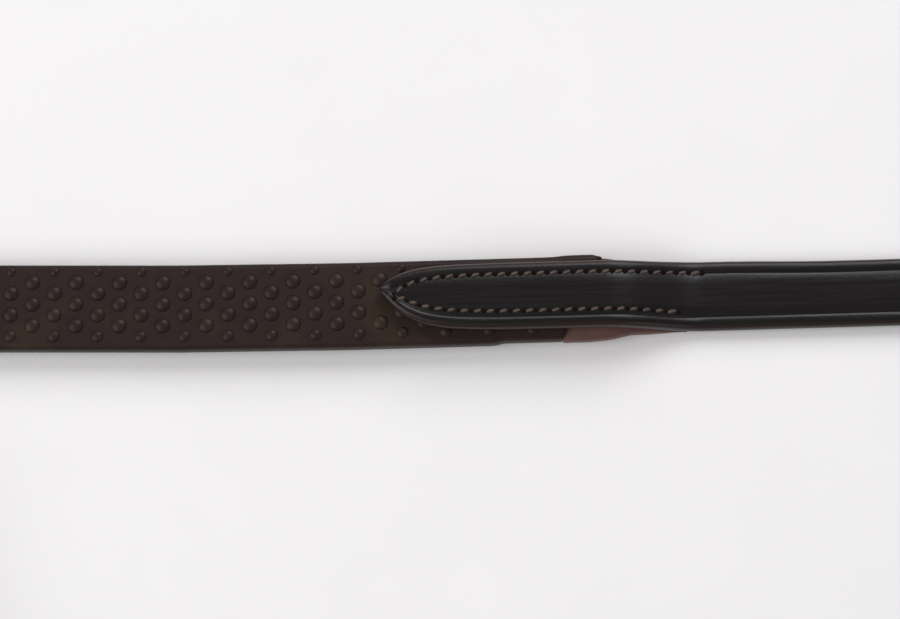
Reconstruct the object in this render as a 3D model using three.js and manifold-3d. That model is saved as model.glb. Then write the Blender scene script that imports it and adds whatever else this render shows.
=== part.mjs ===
// A pair of rubber-grip leather reins with hook-stud ends, joined by a small centre buckle.
// Millimetres, +Z up. The left rein's rear joint and the buckle lie flat in a straight run along X;
// the lengths beyond it are turned on edge and wound into a flat coil at each side, with the bit
// ends outside. Routes are drawn from the middle of the left rein's rear joint.
// Every leather piece is a strip swept along its rein's route: s runs along the rein from the
// buckle bar to the bit, u across the strap and v up from the surface that the strap lies on.
import * as THREE from 'three';
import { mergeVertices } from 'three/addons/utils/BufferGeometryUtils.js';
import Module from 'manifold-3d';

const wasm = await Module();
wasm.setup();

// driving dimensions
const GAP = 0.3;                    // clearance between neighbouring pieces
const STRAP_W = 16;                 // 5/8 inch strap
const STRAP_T = 3.6;
const GRIP_W = 21;                  // rubber sleeve
const GRIP_T = 6.5;
const WALL = 1.2;
const CORE_T = 3.5;
const END_X = 72;                   // both bit ends; makes each rein 1372 mm (54 inches) long
const GRIP_START = 200;             // rubber sleeve along the rein
const GRIP_END = 940;
const LAP = 51.5;                   // pointed strap end lies this far over the rubber
const LAP_TOP = GRIP_T + GAP;
const POINT_LENGTH = 16;            // length of the strap's pointed end
const RUBBER_END = 2;               // rubber's ends reach this far past the nominal grip
const BUCKLE_X = 235;               // buckle bar
const BAR_R = 1.25;
const BAR_Z = 5.55;                 // height of the buckle bar's centre
const WIRE_R = 1.5;
const FRAME_LENGTH = 23;            // bar to far end of the buckle frame
const FRAME_INSIDE = 17;
const TAIL = 85;                    // right rein's tail past the buckle bar
const KEEPER_W = 8;
const KEEPER_T = 1.6;
const LIFT = 2;                     // straps ride this high where keepers pass under them
const STUD_AT = 50;                 // distances from the bit end
const SPLICE_START = 60;
const SPLICE_END = 100;
const BILLET_TIP = 98;
const STUD_GAP = 1.6;               // room for the stud's foot between billet runs
const HEAD_R = 2.9;                 // stud head, and its nose that hooks over the slot's end
const NOSE_R = 2.2;
const NOSE_AT = 5;
const SLOT_HALF = 2.2;              // half-width of the slots and the tongue hole
const FIXED_AT = 89;
const RUNNING_AT = 70;
const EYE_R = 4.2;                  // inside radius of the bit loop

const CORE_END = 21.5;              // the core's skived end, outwards from the rubber
const JOINT_STEPS = [-8, -3, RUBBER_END, 5, 8, 11, 14, 16, 18, 20, CORE_END, 23, 25];
const POINT_STEPS = [0, 1, 2.5, 4.5, 7, 10, 13, 16];

// coil layout
const COIL_INNER = 64;
const COIL_PITCH = 18;
const ARM_STEP = 3;                 // degrees between route points
const EXIT_RADIUS = 45;
const BEND_RADIUS = 1380;           // slight sideways set of the left rein
const BEND_DEG = 1.7;

const leather = [0x231f20, 0.45];
const coreLeather = [0x46302d, 0.6];
const rubber = [0x33282a, 0.85];
const steel = [0xb9bcc0, 0.3, 1];

const rad = Math.PI / 180;
const clamp01 = (t) => Math.min(1, Math.max(0, t));
const smooth = (t) => clamp01(t) ** 2 * (3 - 2 * clamp01(t));
const ramp = (x, x0, x1) => smooth((x - x0) / (x1 - x0));

// sorted: station lengths in order, with near neighbours dropped
const NEAR = 0.4;
const sorted = (list) => [...list].sort((a, b) => a - b)
  .filter((s, i, all) => i === 0 || s - all[i - 1] > NEAR);

// Plan view of a rein: a pen that draws lines, arcs and one two-armed coil from the buckle bar.
class Route {
  constructor(x, y, heading) {
    this.pen = { x, y, h: heading * rad };
    this.points = [[x, y]];
  }

  to(x, y) {
    this.points.push([x, y]);
    this.pen.x = x;
    this.pen.y = y;
  }

  line(length) {
    const { x, y, h } = this.pen;
    this.to(x + length * Math.cos(h), y + length * Math.sin(h));
    return this;
  }

  // orbit: points round a centre, radius from r0 to r1 while the bearing turns by sweep degrees
  orbit(cx, cy, bearing, sweep, r0, r1) {
    const count = Math.ceil(Math.abs(sweep) / ARM_STEP);
    for (let i = 1; i <= count; i++) {
      const r = r0 + ((r1 - r0) * i) / count;
      const b = bearing + (sweep * rad * i) / count;
      this.to(cx + r * Math.cos(b), cy + r * Math.sin(b));
    }
    this.pen.h = bearing + sweep * rad + (Math.sign(sweep) * Math.PI) / 2;
    return this;
  }

  arc(radius, degrees) {
    const { x, y, h } = this.pen;
    const side = h + (Math.sign(degrees) * Math.PI) / 2;
    const [cx, cy] = [x + radius * Math.cos(side), y + radius * Math.sin(side)];
    return this.orbit(cx, cy, side + Math.PI, degrees, radius, radius);
  }

  // coil: winds in by arm1 degrees, passes the middle in an S and winds out by arm2 degrees
  coil(turn, arm1, arm2) {
    const { x, y, h } = this.pen;
    const outer = COIL_INNER + (COIL_PITCH * arm1) / 360;
    const side = h + (turn * Math.PI) / 2;
    const [cx, cy] = [x + outer * Math.cos(side), y + outer * Math.sin(side)];
    const half = COIL_INNER / 2;
    this.orbit(cx, cy, side + Math.PI, turn * arm1, outer, COIL_INNER);
    const b = side + Math.PI + turn * arm1 * rad;
    const [hx, hy] = [half * Math.cos(b), half * Math.sin(b)];
    this.orbit(cx + hx, cy + hy, b, turn * 180, half, half);
    this.orbit(cx - hx, cy - hy, b, -turn * 180, half, half);
    const last = COIL_INNER + (COIL_PITCH * arm2) / 360;
    return this.orbit(cx, cy, b + Math.PI, -turn * arm2, COIL_INNER, last);
  }

  // finish: lengths along the route, headings at its points, and the two twists; lean is the way
  // that the strap turns up, +1 or -1, so that its outer face looks away from the coil's middle
  finish(lean, twistIn, twistOut, endX) {
    this.line(Math.abs(endX - this.pen.x));
    const p = this.points;
    this.s = [0];
    for (let i = 1; i < p.length; i++) {
      this.s.push(this.s[i - 1] + Math.hypot(p[i][0] - p[i - 1][0], p[i][1] - p[i - 1][1]));
    }
    this.h = [];
    for (let i = 0; i < p.length; i++) {
      const [a, b] = [p[Math.max(0, i - 1)], p[Math.min(p.length - 1, i + 1)]];
      const angle = Math.atan2(b[1] - a[1], b[0] - a[0]);
      const before = i ? this.h[i - 1] : angle;
      this.h.push(angle + 2 * Math.PI * Math.round((before - angle) / (2 * Math.PI)));
    }
    this.length = this.s.at(-1);
    this.lean = lean;
    this.twistIn = twistIn;
    this.twistOut = [this.length - twistOut[0], this.length - twistOut[1]];
    const joints = [...POINT_STEPS.map((d) => d - LAP), ...JOINT_STEPS];
    this.stations = sorted([...this.grid(), ...joints.flatMap((e) => [GRIP_START - e, GRIP_END + e])]);
    return this;
  }

  bank(s) {
    return (ramp(s, ...this.twistIn) - ramp(s, ...this.twistOut)) * (Math.PI / 2);
  }

  // at: plan position and heading, carried on straight past either end
  at(s) {
    const last = this.s.length - 2;
    let i = 0;
    while (i < last && this.s[i + 1] < s) i += 1;
    const step = this.s[i + 1] - this.s[i];
    const t = (s - this.s[i]) / step;
    const [a, b] = [this.points[i], this.points[i + 1]];
    const turn = this.h[i] + (this.h[i + 1] - this.h[i]) * clamp01(t);
    return [a[0] + (b[0] - a[0]) * t, a[1] + (b[1] - a[1]) * t, turn];
  }

  // place: a point of a piece, from its place along, across and above the route
  place(s, u, v) {
    const [x, y, h] = this.at(s);
    const bank = this.bank(s);
    const [sin, cos] = [Math.sin(bank), Math.cos(bank)];
    const lean = this.lean * sin;
    const wide = ramp(s, 130, GRIP_START - 10) - ramp(s, GRIP_END + 10, GRIP_END + 70);
    const half = STRAP_W / 2 + ((GRIP_W - STRAP_W) / 2) * wide;
    const up = v - (GRIP_T / 2) * sin;
    const side = u * cos - up * lean;
    const z = half * sin + (GRIP_T / 2) * sin * cos + u * lean + up * cos;
    return [x - side * Math.sin(h), y + side * Math.cos(h), z];
  }

  // grid: route lengths, about 0.2 rad of turn and twist apart and at most 40 mm apart
  grid() {
    const out = [];
    const ahead = 4;
    for (let s = 0; s < this.length; ) {
      out.push(s);
      const turn = Math.abs(this.at(s + ahead)[2] - this.at(s)[2]) / ahead;
      const twist = Math.abs(this.bank(s + ahead) - this.bank(s)) / ahead;
      s += Math.min(40, 0.2 / (turn + twist + 0.005));
    }
    return out;
  }

  // between: the shared stations from s0 to s1, with both ends and the extra lengths put in
  between(s0, s1, extra = []) {
    const inside = this.stations.filter((s) => s > s0 + NEAR && s < s1 - NEAR);
    return sorted([s0, ...inside, ...extra, s1]);
  }
}

// closed: a mesh geometry from vertices and quads, with its faces turned outwards
function closed(vertices, quads) {
  const index = quads.flatMap(([a, b, c, d]) => [a, b, c, a, c, d]);
  let volume = 0;
  for (let i = 0; i < index.length; i += 3) {
    const [a, b, c] = index.slice(i, i + 3).map((k) => new THREE.Vector3(...vertices[k]));
    volume += a.dot(b.cross(c));
  }
  if (volume < 0) index.reverse();
  const geometry = new THREE.BufferGeometry();
  geometry.setAttribute('position', new THREE.Float32BufferAttribute(vertices.flat(), 3));
  geometry.setIndex(index);
  return geometry;
}

// tube: rings of four corners joined in order; in a hollow tube each ring holds an outer loop and
// then an inner loop of four corners, and the tube's ends are open
function tube(rings, hollow) {
  const n = rings[0].length;
  const loops = hollow ? [[0, 1, 2, 3], [4, 5, 6, 7]] : [[...rings[0].keys()]];
  const quads = [];
  for (let i = 0; i + 1 < rings.length; i++) {
    loops.forEach((loop, inner) => {
      loop.forEach((a, k) => {
        const b = loop[(k + 1) % loop.length];
        const quad = [i * n + a, i * n + b, (i + 1) * n + b, (i + 1) * n + a];
        quads.push(inner ? quad.reverse() : quad);
      });
    });
  }
  for (const [base, flip] of [[0, true], [(rings.length - 1) * n, false]]) {
    const ends = hollow
      ? [0, 1, 2, 3].map((k) => [k, (k + 1) % 4, 4 + ((k + 1) % 4), 4 + k])
      : [[0, 1, 2, 3]];
    for (const end of ends) {
      const quad = end.map((k) => k + base);
      quads.push(flip ? quad.reverse() : quad);
    }
  }
  return closed(rings.flat(), quads);
}

// strip: a leather strip from stations { s, bottom, top, half }, or { low, high, half } where low
// and high are the [s, v] points of its two faces, for a strip that folds back over itself
function strip(route, stations) {
  return tube(stations.map(({ s, bottom, top, low, high, half }) => {
    const a = low ?? [s, bottom];
    const b = high ?? [s, top];
    return [[a, -half], [a, half], [b, half], [b, -half]].map(([p, u]) => route.place(p[0], u, p[1]));
  }));
}

// fold: stations of a strip of thickness t whose middle line runs through the given [s, v] points
function fold(points, halfAt) {
  return points.map(([s, v, t], i) => {
    const a = points[Math.max(0, i - 1)];
    const b = points[Math.min(points.length - 1, i + 1)];
    const length = Math.hypot(b[0] - a[0], b[1] - a[1]);
    const [nx, ny] = [(-(b[1] - a[1]) / length) * (t / 2), ((b[0] - a[0]) / length) * (t / 2)];
    return { low: [s - nx, v - ny], high: [s + nx, v + ny], half: halfAt(i) };
  });
}

// solid and cut: boolean work on closed geometries
function solid(geometry) {
  const bare = new THREE.BufferGeometry();
  bare.setAttribute('position', geometry.getAttribute('position'));
  bare.setIndex(geometry.getIndex());
  const merged = mergeVertices(bare, 1e-5);
  const vertProperties = new Float32Array(merged.getAttribute('position').array);
  const triVerts = new Uint32Array(merged.getIndex().array);
  return new wasm.Manifold(new wasm.Mesh({ numProp: 3, vertProperties, triVerts }));
}

function geometryOf(manifold) {
  const { vertProperties, triVerts } = manifold.getMesh();
  const geometry = new THREE.BufferGeometry();
  geometry.setAttribute('position', new THREE.BufferAttribute(new Float32Array(vertProperties), 3));
  geometry.setIndex(new THREE.BufferAttribute(new Uint32Array(triVerts), 1));
  return geometry;
}

const cut = (geometry, ...tools) => geometryOf(
  tools.reduce((body, tool) => body.subtract(solid(tool)), solid(geometry)),
);
const join = (...pieces) => geometryOf(
  pieces.slice(1).reduce((body, piece) => body.add(solid(piece)), solid(pieces[0])),
);

// upright: a turned piece standing at (x, y), from its profile of [radius, height] points
function upright(x, y, profile, sides = 20) {
  const points = profile.map(([r, z]) => new THREE.Vector2(r, z));
  const geometry = new THREE.LatheGeometry(points, sides);
  return geometry.rotateX(Math.PI / 2).translate(x, y, 0);
}

const block = (x0, x1, y0, y1, z0, z1) => new THREE.BoxGeometry(x1 - x0, y1 - y0, z1 - z0)
  .translate((x0 + x1) / 2, (y0 + y1) / 2, (z0 + z1) / 2);

const model = new THREE.Group();
function add(name, geometry, [color, roughness, metalness = 0]) {
  const material = new THREE.MeshStandardMaterial({ color, roughness, metalness });
  const mesh = new THREE.Mesh(geometry, material);
  mesh.name = name;
  model.add(mesh);
}

// joint between strap and grip: e is the distance outwards from the rubber's end
const strapBottom = (e) => 4.2 * (1 - ramp(e, 14, 25)) + (LAP_TOP - 4.2) * (1 - ramp(e, RUBBER_END, 14));
const coreBottom = (e) => (GRIP_T - CORE_T) / 2 * (1 - ramp(e, RUBBER_END, 14));
const coreTop = (e) => Math.min(coreBottom(e) + CORE_T, strapBottom(e) - GAP);
const coreHalf = (e) => GRIP_W / 2 - WALL - GAP - 1.3 * clamp01(e / 21);

// lancet: half-width of a pointed strap end at distance d from its tip
const lancet = (d) => (STRAP_W / 2) * Math.max(0.05, 1 - (1 - clamp01(d / POINT_LENGTH)) ** 1.9);

// keepers lift the straps that lie in them
const rearLift = (s) => LIFT * (1 - ramp(s, 80, 110));
const frontLift = (d) => LIFT * (1 - ramp(d, 97, 125));

function addGrip(side, route) {
  const grid = route.between(GRIP_START - RUBBER_END, GRIP_END + RUBBER_END);
  const [w, inner] = [GRIP_W / 2, GRIP_W / 2 - WALL];
  const corners = [[-w, 0], [w, 0], [w, GRIP_T], [-w, GRIP_T],
    [-inner, WALL], [inner, WALL], [inner, GRIP_T - WALL], [-inner, GRIP_T - WALL]];
  const rings = grid.map((s) => corners.map(([u, v]) => route.place(s, u, v)));
  add(`${side}_rubber_grip`, tube(rings, true), rubber);

  const along = route.between(GRIP_START - CORE_END, GRIP_END + CORE_END);
  add(`${side}_grip_core`, strip(route, along.map((s) => {
    const e = Math.max(GRIP_START - s, s - GRIP_END);
    return { s, bottom: coreBottom(e), top: coreTop(e), half: coreHalf(e) };
  })), coreLeather);
}

function lapStation(s, e, lift) {
  const bottom = strapBottom(e) + lift;
  return { s, bottom, top: bottom + STRAP_T, half: lancet(e + LAP) };
}

// left rear strap: flat run, skived fold round the buckle bar and turned-back end on top
function addLeftRearStrap(route) {
  const skived = 2;
  const turn = BAR_R + GAP + skived / 2;
  const back = [[60, 6.6, 1.2], [50, 6.9, skived], [12, 6.9, skived], [8, 7.3, skived], [3, 8, skived]];
  const arc = [75, 30, -10, -50, -80].map((a) => (
    [-turn * Math.cos(a * rad), BAR_Z + turn * Math.sin(a * rad), skived]));
  const under = [[4, 3, skived], [16, LIFT + STRAP_T / 2, STRAP_T]];
  const bend = fold([...back, ...arc, ...under], () => STRAP_W / 2);
  const flat = route.between(30, GRIP_START + LAP, [80, 88, 95, 102, 110]);
  const run = flat.map((s) => lapStation(s, GRIP_START - s, rearLift(s)));
  const geometry = strip(route, [...bend, ...run]);
  const slot = block(BUCKLE_X - 7, BUCKLE_X + 5, -SLOT_HALF, SLOT_HALF, LIFT - 1, 12);
  add('left_rear_strap', cut(geometry, slot), leather);
}

// right rear strap: tail on top of the left strap, through the buckle frame and down to the floor
const TAIL_BOTTOM = 8.6;            // on the turned-back end; over the bar it climbs by 1.2 mm
const tailBottom = (s) => TAIL_BOTTOM + 1.2 * ramp(s, -14, -4);
const riseBottom = (s) => tailBottom(Math.min(s, 0)) * (1 - ramp(s, 0, 20.5));

function addRightRearStrap(route) {
  const tail = [...POINT_STEPS.map((d) => d - TAIL), -40, -14, -11, -8, -4, 0];
  const rise = [2, 4, 6, 8.5, 11, 13.5, 16, 18.5, 20.5];
  const stations = [...tail, ...rise, ...route.between(30, GRIP_START + LAP)].map((s) => {
    if (s > 25) return lapStation(s, GRIP_START - s, 0);
    const slope = riseBottom(s + 0.5) - riseBottom(s - 0.5);
    const t = STRAP_T * Math.hypot(1, slope);
    return { s, bottom: riseBottom(s), top: riseBottom(s) + t, half: lancet(s + TAIL) };
  });
  const hole = block(BUCKLE_X + 3, BUCKLE_X + 14.5, -SLOT_HALF + 0.2, SLOT_HALF - 0.2, -1, 15);
  add('right_rear_strap', cut(strip(route, stations), hole), leather);
}

// front strap: from its pointed end on the grip to the skived splice under the billet
function addFrontStrap(side, route) {
  const end = route.length;
  const along = route.between(GRIP_END - LAP, end - SPLICE_START,
    [125, 119, 113, 108, 103, SPLICE_END].map((d) => end - d));
  const stations = along.map((s) => {
    const d = end - s;
    if (d > SPLICE_END) return lapStation(s, s - GRIP_END, frontLift(d));
    const thick = 0.8 + ((STRAP_T - 0.8) * (d - SPLICE_START)) / (SPLICE_END - SPLICE_START);
    return { s, bottom: LIFT, top: LIFT + thick, half: STRAP_W / 2 };
  });
  add(`${side}_front_strap`, strip(route, stations), leather);
}

// billet: skived splice, lower run, bit loop and turned-back end hooked over the stud
function addBillet(side, route) {
  const end = route.length;
  const [low, high] = [LIFT + STRAP_T / 2, LIFT + STRAP_T + STUD_GAP + STRAP_T / 2];
  const r = EYE_R + STRAP_T / 2;
  const centre = low + r;
  const reach = r + STRAP_T / 2;
  const splice = [[SPLICE_END, 6.15, 0.3], [SPLICE_START, 4.65, 2.8]];
  const lower = [[56, low, STRAP_T], [30, low, STRAP_T], [reach + 2, low, STRAP_T]];
  const arc = [-90, -65, -40, -15, 10, 35, 60, 82].map((a) => (
    [reach - r * Math.cos(a * rad), centre + r * Math.sin(a * rad), STRAP_T]));
  const drop = [0.1, 0.25, 0.4, 0.55, 0.7, 0.85, 1].map((t) => (
    [reach + 2 + 26 * t, centre + r - (centre + r - high) * smooth(t), STRAP_T]));
  const tip = POINT_STEPS.toReversed().map((d) => [BILLET_TIP - d, high, STRAP_T]);
  const line = [...splice, ...lower, ...arc, ...drop, [55, high, STRAP_T], ...tip];
  const first = line.length - tip.length;
  const stations = fold(line.map(([d, v, t]) => [end - d, v, t]), (i) => (
    i < first ? STRAP_W / 2 : lancet(BILLET_TIP - line[i][0])));
  const [x, y] = route.at(end - STUD_AT);
  const [recess, shank, seat] = [4.6, 1.8, LIFT + 1.4];
  const hole = upright(x, y, [[0, 0], [recess, 0], [recess, seat], [shank, seat], [shank, 6.4], [0, 6.4]]);
  const slot = block(x - 4.5, x + 4.5, y - SLOT_HALF, y + SLOT_HALF, 6.6, 12);
  add(`${side}_billet`, cut(strip(route, stations), hole, slot), leather);
}

// hook stud: riveted shank, foot between the two leathers, and a hooked head over the slot
function addStud(side, route) {
  const [x, y, h] = route.at(route.length - STUD_AT);
  const way = Math.sign(Math.cos(h));
  const foot = LIFT + STRAP_T + GAP;
  const top = LIFT + 2 * STRAP_T + STUD_GAP + GAP;
  const shank = upright(x, y, [[0, LIFT + 0.2], [1.5, LIFT + 0.2], [1.5, foot], [4.5, foot],
    [4.5, foot + 1], [1.8, foot + 1], [1.8, top + 0.4], [0, top + 0.4]]);
  const outline = new THREE.Shape();
  outline.absarc(0, 0, HEAD_R, Math.PI / 2, (3 * Math.PI) / 2, false);
  outline.absarc(NOSE_AT, 0, NOSE_R, -Math.PI / 2, Math.PI / 2, false);
  const head = new THREE.ExtrudeGeometry(outline, { depth: 1.5, bevelEnabled: false, curveSegments: 10 });
  if (way < 0) head.rotateZ(Math.PI);
  head.translate(x, y, top);
  add(`${side}_hook_stud`, join(shank, head), steel);
  add(`${side}_stud_burr`, upright(x, y, [[1.8, LIFT + 0.1], [4.2, LIFT + 0.1],
    [4.2, LIFT + 1], [1.8, LIFT + 1], [1.8, LIFT + 0.1]]), steel);
}

// keeper: a rectangular leather loop round a stack of straps that reaches up to height top
function keeper(x, y, top) {
  const [w, h] = [STRAP_W / 2 + GAP, top + GAP];
  const floor = 0.1;
  const wide = w + KEEPER_T;
  const outer = block(x - KEEPER_W / 2, x + KEEPER_W / 2, y - wide, y + wide, floor, h + KEEPER_T);
  const inner = block(x - KEEPER_W, x + KEEPER_W, y - w, y + w, floor + KEEPER_T, h);
  return cut(outer, inner);
}

function addBitKeepers(side, route) {
  const top = LIFT + 2 * STRAP_T + STUD_GAP;
  for (const [name, d] of [['fixed', FIXED_AT], ['running', RUNNING_AT]]) {
    const [x, y] = route.at(route.length - d);
    add(`${side}_${name}_keeper`, keeper(x, y, top), leather);
  }
}

// buckle frame: round-cornered wire loop, its near side is the bar that the strap folds round
function addBuckle() {
  const half = FRAME_INSIDE / 2 + WIRE_R;
  const corner = 1.5;
  const outline = new THREE.CurvePath();
  const at = (x, y) => new THREE.Vector3(BUCKLE_X + x, y, BAR_Z);
  const bend = (a, m, b) => outline.add(new THREE.QuadraticBezierCurve3(a, m, b));
  const f = FRAME_LENGTH;
  outline.add(new THREE.LineCurve3(at(0, 0), at(0, half - corner)));
  bend(at(0, half - corner), at(0, half), at(corner, half));
  outline.add(new THREE.LineCurve3(at(corner, half), at(f - corner, half)));
  bend(at(f - corner, half), at(f, half), at(f, half - corner));
  outline.add(new THREE.LineCurve3(at(f, half - corner), at(f, corner - half)));
  bend(at(f, corner - half), at(f, -half), at(f - corner, -half));
  outline.add(new THREE.LineCurve3(at(f - corner, -half), at(corner, -half)));
  bend(at(corner, -half), at(0, -half), at(0, corner - half));
  outline.add(new THREE.LineCurve3(at(0, corner - half), at(0, 0)));
  const rings = [];
  const count = 40;
  for (let i = 0; i < count; i++) {
    const p = outline.getPointAt(i / count);
    const t = outline.getTangentAt(i / count);
    const r = p.x < BUCKLE_X + 1 ? BAR_R : WIRE_R;
    rings.push([...Array(8).keys()].map((k) => {
      const a = (k * Math.PI) / 4;
      return [p.x + t.y * r * Math.cos(a), p.y - t.x * r * Math.cos(a), p.z + r * Math.sin(a)];
    }));
  }
  const quads = rings.flatMap((_, i) => rings[0].map((__, k) => {
    const [j, m] = [(i + 1) % count, (k + 1) % 8];
    return [i * 8 + k, i * 8 + m, j * 8 + m, j * 8 + k];
  }));
  add('buckle_frame', closed(rings.flat(), quads), steel);

  // tongue: an eye round the bar and a bar that rests on the frame's far end
  const eye = new THREE.Shape();
  eye.absarc(0, 0, BAR_R + GAP + 1.2, 0, 2 * Math.PI, false);
  const hole = new THREE.Path();
  hole.absarc(0, 0, BAR_R + GAP, 0, 2 * Math.PI, true);
  eye.holes.push(hole);
  const rest = WIRE_R + GAP;
  const pin = new THREE.Shape([[1.7, -0.4], [5, 0.4], [12, 1.1], [f - 3, rest], [f + 2, rest],
    [f + 2, rest + 1.3], [f - 3, rest + 1.9], [12, 3.1], [4, 2.3], [1.7, 1.6]]
    .map(([x, z]) => new THREE.Vector2(x, z)));
  const flat = { depth: 2.6, bevelEnabled: false, curveSegments: 16 };
  const parts = [eye, pin].map((shape) => new THREE.ExtrudeGeometry(shape, flat)
    .translate(0, 0, -1.3).rotateX(Math.PI / 2).translate(BUCKLE_X, 0, BAR_Z));
  add('buckle_tongue', join(...parts), steel);

  const stack = TAIL_BOTTOM + STRAP_T;
  add('buckle_fixed_keeper', keeper(BUCKLE_X - 20, 0, stack), leather);
  add('buckle_running_keeper', keeper(BUCKLE_X - 48, 0, stack), leather);
}

const left = new Route(BUCKLE_X, 0, 180).line(BUCKLE_X + 24).arc(BEND_RADIUS, -BEND_DEG).line(140)
  .coil(1, 250, 160).arc(EXIT_RADIUS, 90 + BEND_DEG).finish(1, [355, 432], [173, 113], END_X);
const right = new Route(BUCKLE_X, 0, 0).line(135).coil(-1, 348, 258).line(30).arc(EXIT_RADIUS, -90)
  .finish(-1, [60, 132], [173, 113], END_X);

for (const [side, route] of [['left', left], ['right', right]]) {
  addGrip(side, route);
  addFrontStrap(side, route);
  addBillet(side, route);
  addStud(side, route);
  addBitKeepers(side, route);
}
addLeftRearStrap(left);
addRightRearStrap(right);
addBuckle();

// the origin is the middle of the footprint, on the surface that the reins lie on
const footprint = new THREE.Box3().setFromObject(model).getCenter(new THREE.Vector3());
model.position.set(-footprint.x, -footprint.y, 0);

export default model;
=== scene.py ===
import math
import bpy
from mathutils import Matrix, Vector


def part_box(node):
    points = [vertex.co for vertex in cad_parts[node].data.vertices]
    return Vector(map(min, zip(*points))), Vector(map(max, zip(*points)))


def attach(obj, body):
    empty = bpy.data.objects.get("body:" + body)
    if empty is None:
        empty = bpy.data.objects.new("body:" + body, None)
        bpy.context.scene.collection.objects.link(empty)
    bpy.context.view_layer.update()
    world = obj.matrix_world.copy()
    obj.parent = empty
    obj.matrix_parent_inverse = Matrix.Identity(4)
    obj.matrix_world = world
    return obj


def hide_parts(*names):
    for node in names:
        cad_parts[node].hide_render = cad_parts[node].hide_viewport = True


bl_info = {
    "name": "Rubber-grip leather reins",
    "version": (1, 0, 0),
    "blender": (4, 5, 0),
    "location": "View3D > Sidebar > Reins",
    "description": "Builds a buckled pair of leather reins with rubber pimple grips on a packed frame",
    "category": "Add Mesh",
}

import bpy
import numpy as np
from mathutils import Quaternion, Vector

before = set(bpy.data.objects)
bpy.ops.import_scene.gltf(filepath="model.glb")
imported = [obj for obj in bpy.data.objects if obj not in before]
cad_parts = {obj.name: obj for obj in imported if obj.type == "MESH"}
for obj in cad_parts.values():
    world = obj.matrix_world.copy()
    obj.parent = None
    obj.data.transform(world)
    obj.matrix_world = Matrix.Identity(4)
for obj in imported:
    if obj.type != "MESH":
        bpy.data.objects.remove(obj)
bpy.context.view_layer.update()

# Lengths below are in millimetres, the saddler's unit; mesh_object turns them into metres.
# s runs along a rein from the buckle bar to the bit, u across it and v up from the surface.
STRAP_T = 3.6  # straps
HALF_WIDTH = 8.0
CORD_V = 4.0  # mean height of the middle line that declare_strap works out along a strap
CREASE_DEPTH = 0.18
TAIL_CREASE = 0.13  # on the strap with the tail
CREASE_INSET = 2.95
GRIP_W = 21.0  # rubber grips, from GRIP_START to GRIP_END
GRIP_T = 6.5
GRIP_START = 200.0
GRIP_END = 940.0
GRIP_TRIM = 3.5  # how far inside those places the middle of a sleeve's end is
GRIP_EDGE_R = 1.3
END_SLANT = 0.535
PIMPLE_PHASE = 334.4
CORE_T = 3.5
CORE_END = 21.5
LAP = 51.5  # laps of the straps over the grips
LAP_TOP = 6.8
LAP_SHIFT = 0.5
TIP_SKEW = 0.32
CLIMB = (2.0, 26.0)  # where a lapped strap comes down from the grip
BUCKLE_X = 235.0  # centre buckle
BAR_Z = 5.55
BAR_R = 1.25
WIRE_R = 1.5
FRAME_LENGTH = 23.0
FRAME_HALF = 10.0
FOLD_T = 2.0
BACK_Z = 6.9
TAIL = 85.0
TAIL_Z = 8.6
BUCKLE_KEEPERS = (20.0, 48.0)
LIFT = 2.0  # bit ends, as distances from the bit
EYE_R = 4.2
BILLET_GAP = 1.6
STUD_AT = 50.0
SPLICE_START = 60.0
SPLICE_END = 100.0
BILLET_TIP = 98.0
FIXED_AT = 89.0
RUNNING_AT = 70.0
COIL_INNER = 64.0  # coils and bends of the routes
COIL_PITCH = 18.0
ARM_STEP = 3.0
EXIT_RADIUS = 45.0
BEND_RADIUS = 1380.0
BEND_DEG = 1.7
END_X = 72.0
STITCH = (2.15, 0.85, 0.1)  # length, width and rise of a stitch
HOLE = (1.35, 1.3)  # length and width of an awl hole
STITCH_SLANT = 0.25
PROUD = 0.04  # how far stitches stand off the leather they are in
SLOT_HALF = 2.2
KEEPER = (8.3, 1.6, 8.0)  # half of the room inside a keeper, its thickness and its width
ROUND = 16  # sides of a round wire
# distances from a pointed tip at which a strap has rings
TIP_STEPS = np.array([0, 0.4, 1, 1.8, 2.8, 4, 5.5, 7, 8.5, 10, 12, 14, 16])
SIDES = ("left", "right")
SIGN = {"left": 1, "right": -1}


def linear(hex_colour):
    """sRGB hex to linear RGB, by the standard curve of each channel."""
    parts = [int(hex_colour[i : i + 2], 16) / 255 for i in (1, 3, 5)]
    return tuple(c / 12.92 if c <= 0.04045 else ((c + 0.055) / 1.055) ** 2.4 for c in parts)


def ramp(x, x0, x1):
    """Smooth step: 0 before x0, 1 after x1, a cubic with level ends between them."""
    t = np.clip((np.asarray(x, float) - x0) / (x1 - x0), 0, 1)
    return t * t * (3 - 2 * t)


def circle(sides):
    """Angles of the sides of a round section."""
    return np.linspace(0, 2 * math.pi, sides, endpoint=False)


def unit(angle):
    return np.array([math.cos(angle), math.sin(angle)])


# ---------------------------------------------------------------- routes of the two reins


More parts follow.
